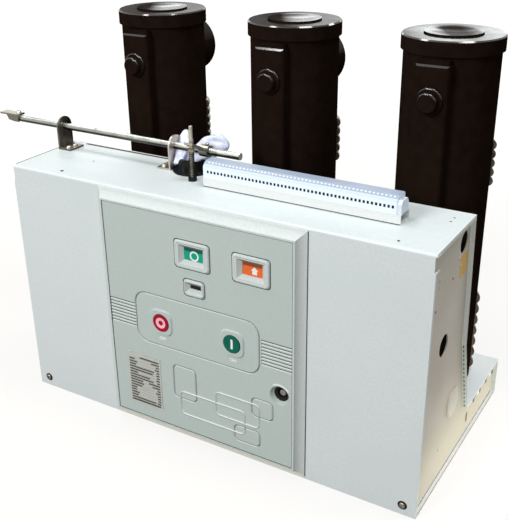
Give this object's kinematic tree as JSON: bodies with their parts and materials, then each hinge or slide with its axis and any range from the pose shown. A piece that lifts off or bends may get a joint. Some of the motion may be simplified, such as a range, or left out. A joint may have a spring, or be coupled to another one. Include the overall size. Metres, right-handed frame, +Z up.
{
  "type": "vacuum circuit breaker",
  "caption": "Fixed indoor vacuum circuit breaker: sheet-steel housing with a control panel, three embedded poles on a base behind it, and an interlock shaft and terminal strip on top.",
  "frame": {"origin": "centre of the four base bolts, on the floor plane under the foot rails", "axes": "+X to the right as seen from the control panel's side, +Y from the panel towards the poles, +Z up"},
  "size_m": [0.9, 0.4215, 0.666],
  "materials": {
    "boot_rubber": "matte",
    "button_green": "gloss",
    "button_red": "gloss",
    "clamp_plastic": "matte",
    "cover_paint": "satin",
    "dial_black": "matte",
    "epoxy": "gloss",
    "face_plastic": "matte",
    "flag_green": "matte",
    "flag_orange": "matte",
    "frame_plastic": "matte",
    "grommet_rubber": "matte",
    "plate_metal": "satin",
    "plug_plastic": "matte",
    "rail_paint": "satin",
    "rod_steel": "satin",
    "shaft_steel": "satin",
    "side_paint": "satin",
    "silvered_copper": "satin",
    "spindle_steel": "satin",
    "spring_steel": "satin",
    "strip_plastic": "matte",
    "wrap_film": "satin",
    "zinc": "satin"
  },
  "bodies": {
    "breaker": {"front_cover": "cover_paint", "side_plate_left": "side_paint", "side_plate_right": "side_paint", "back_plate": "cover_paint", "base_top_plate": "cover_paint", "base_rear_plate": "cover_paint", "foot_rail_left": "cover_paint", "foot_rail_right": "cover_paint", "hole_plug_left": "plug_plastic", "hole_plug_right": "plug_plastic", "panel_frame": "frame_plastic", "panel_face": "face_plastic", "state_window_bezel": "frame_plastic", "state_flag": "flag_green", "spring_window_bezel": "frame_plastic", "spring_flag": "flag_orange", "counter_bezel": "frame_plastic", "counter_dial": "dial_black", "rating_plate": "plate_metal", "pole_left": "epoxy", "pole_middle": "epoxy", "pole_right": "epoxy", "cap_left": "epoxy", "cap_middle": "epoxy", "cap_right": "epoxy", "upper_terminal_left": "silvered_copper", "upper_terminal_middle": "silvered_copper", "upper_terminal_right": "silvered_copper", "lower_terminal_left": "silvered_copper", "lower_terminal_middle": "silvered_copper", "lower_terminal_right": "silvered_copper", "shaft_bracket_left": "zinc", "shaft_bracket_right": "zinc", "rod_spring": "spring_steel", "rod_grommet": "grommet_rubber", "terminal_rail": "rail_paint", "terminal_strip": "strip_plastic", "end_clamp": "clamp_plastic", "cable_boot": "boot_rubber", "wrapped_end_left": "wrap_film", "wrapped_end_right": "wrap_film"},
    "off_button": {"off_button": "button_red"},
    "on_button": {"on_button": "button_green"},
    "charging_spindle": {"charging_spindle": "spindle_steel"},
    "interlock_shaft": {"interlock_shaft": "shaft_steel", "end_crank": "zinc", "drive_lever": "zinc"},
    "push_rod": {"push_rod": "rod_steel"}
  },
  "joints": [
    {"name": "off_button_press", "type": "slide", "parent": "breaker", "child": "off_button", "axis": [0, 1, 0], "range_m": [0, 0.004], "stiffness_N_per_m": 1500, "springref_m": -0.004},
    {"name": "on_button_press", "type": "slide", "parent": "breaker", "child": "on_button", "axis": [0, 1, 0], "range_m": [0, 0.004], "stiffness_N_per_m": 1500, "springref_m": -0.004},
    {"name": "charging_spindle_turn", "type": "hinge", "parent": "breaker", "child": "charging_spindle", "pos_m": [0.1525, -0.1995, 0.152], "axis": [0, 1, 0], "continuous": true},
    {"name": "interlock_shaft_turn", "type": "hinge", "parent": "breaker", "child": "interlock_shaft", "pos_m": [0, -0.0755, 0.476], "axis": [1, 0, 0], "range_deg": [0, 15]},
    {"name": "push_rod_slide", "type": "slide", "parent": "breaker", "child": "push_rod", "axis": [0, 0, -1], "range_m": [0, 0.011], "stiffness_N_per_m": 600, "springref_m": -0.012, "deforming": ["rod_spring"]}
  ],
  "couplings": [
    {"joint": "push_rod_slide", "follows": "interlock_shaft_turn", "m_per_rad": 0.04}
  ]
}
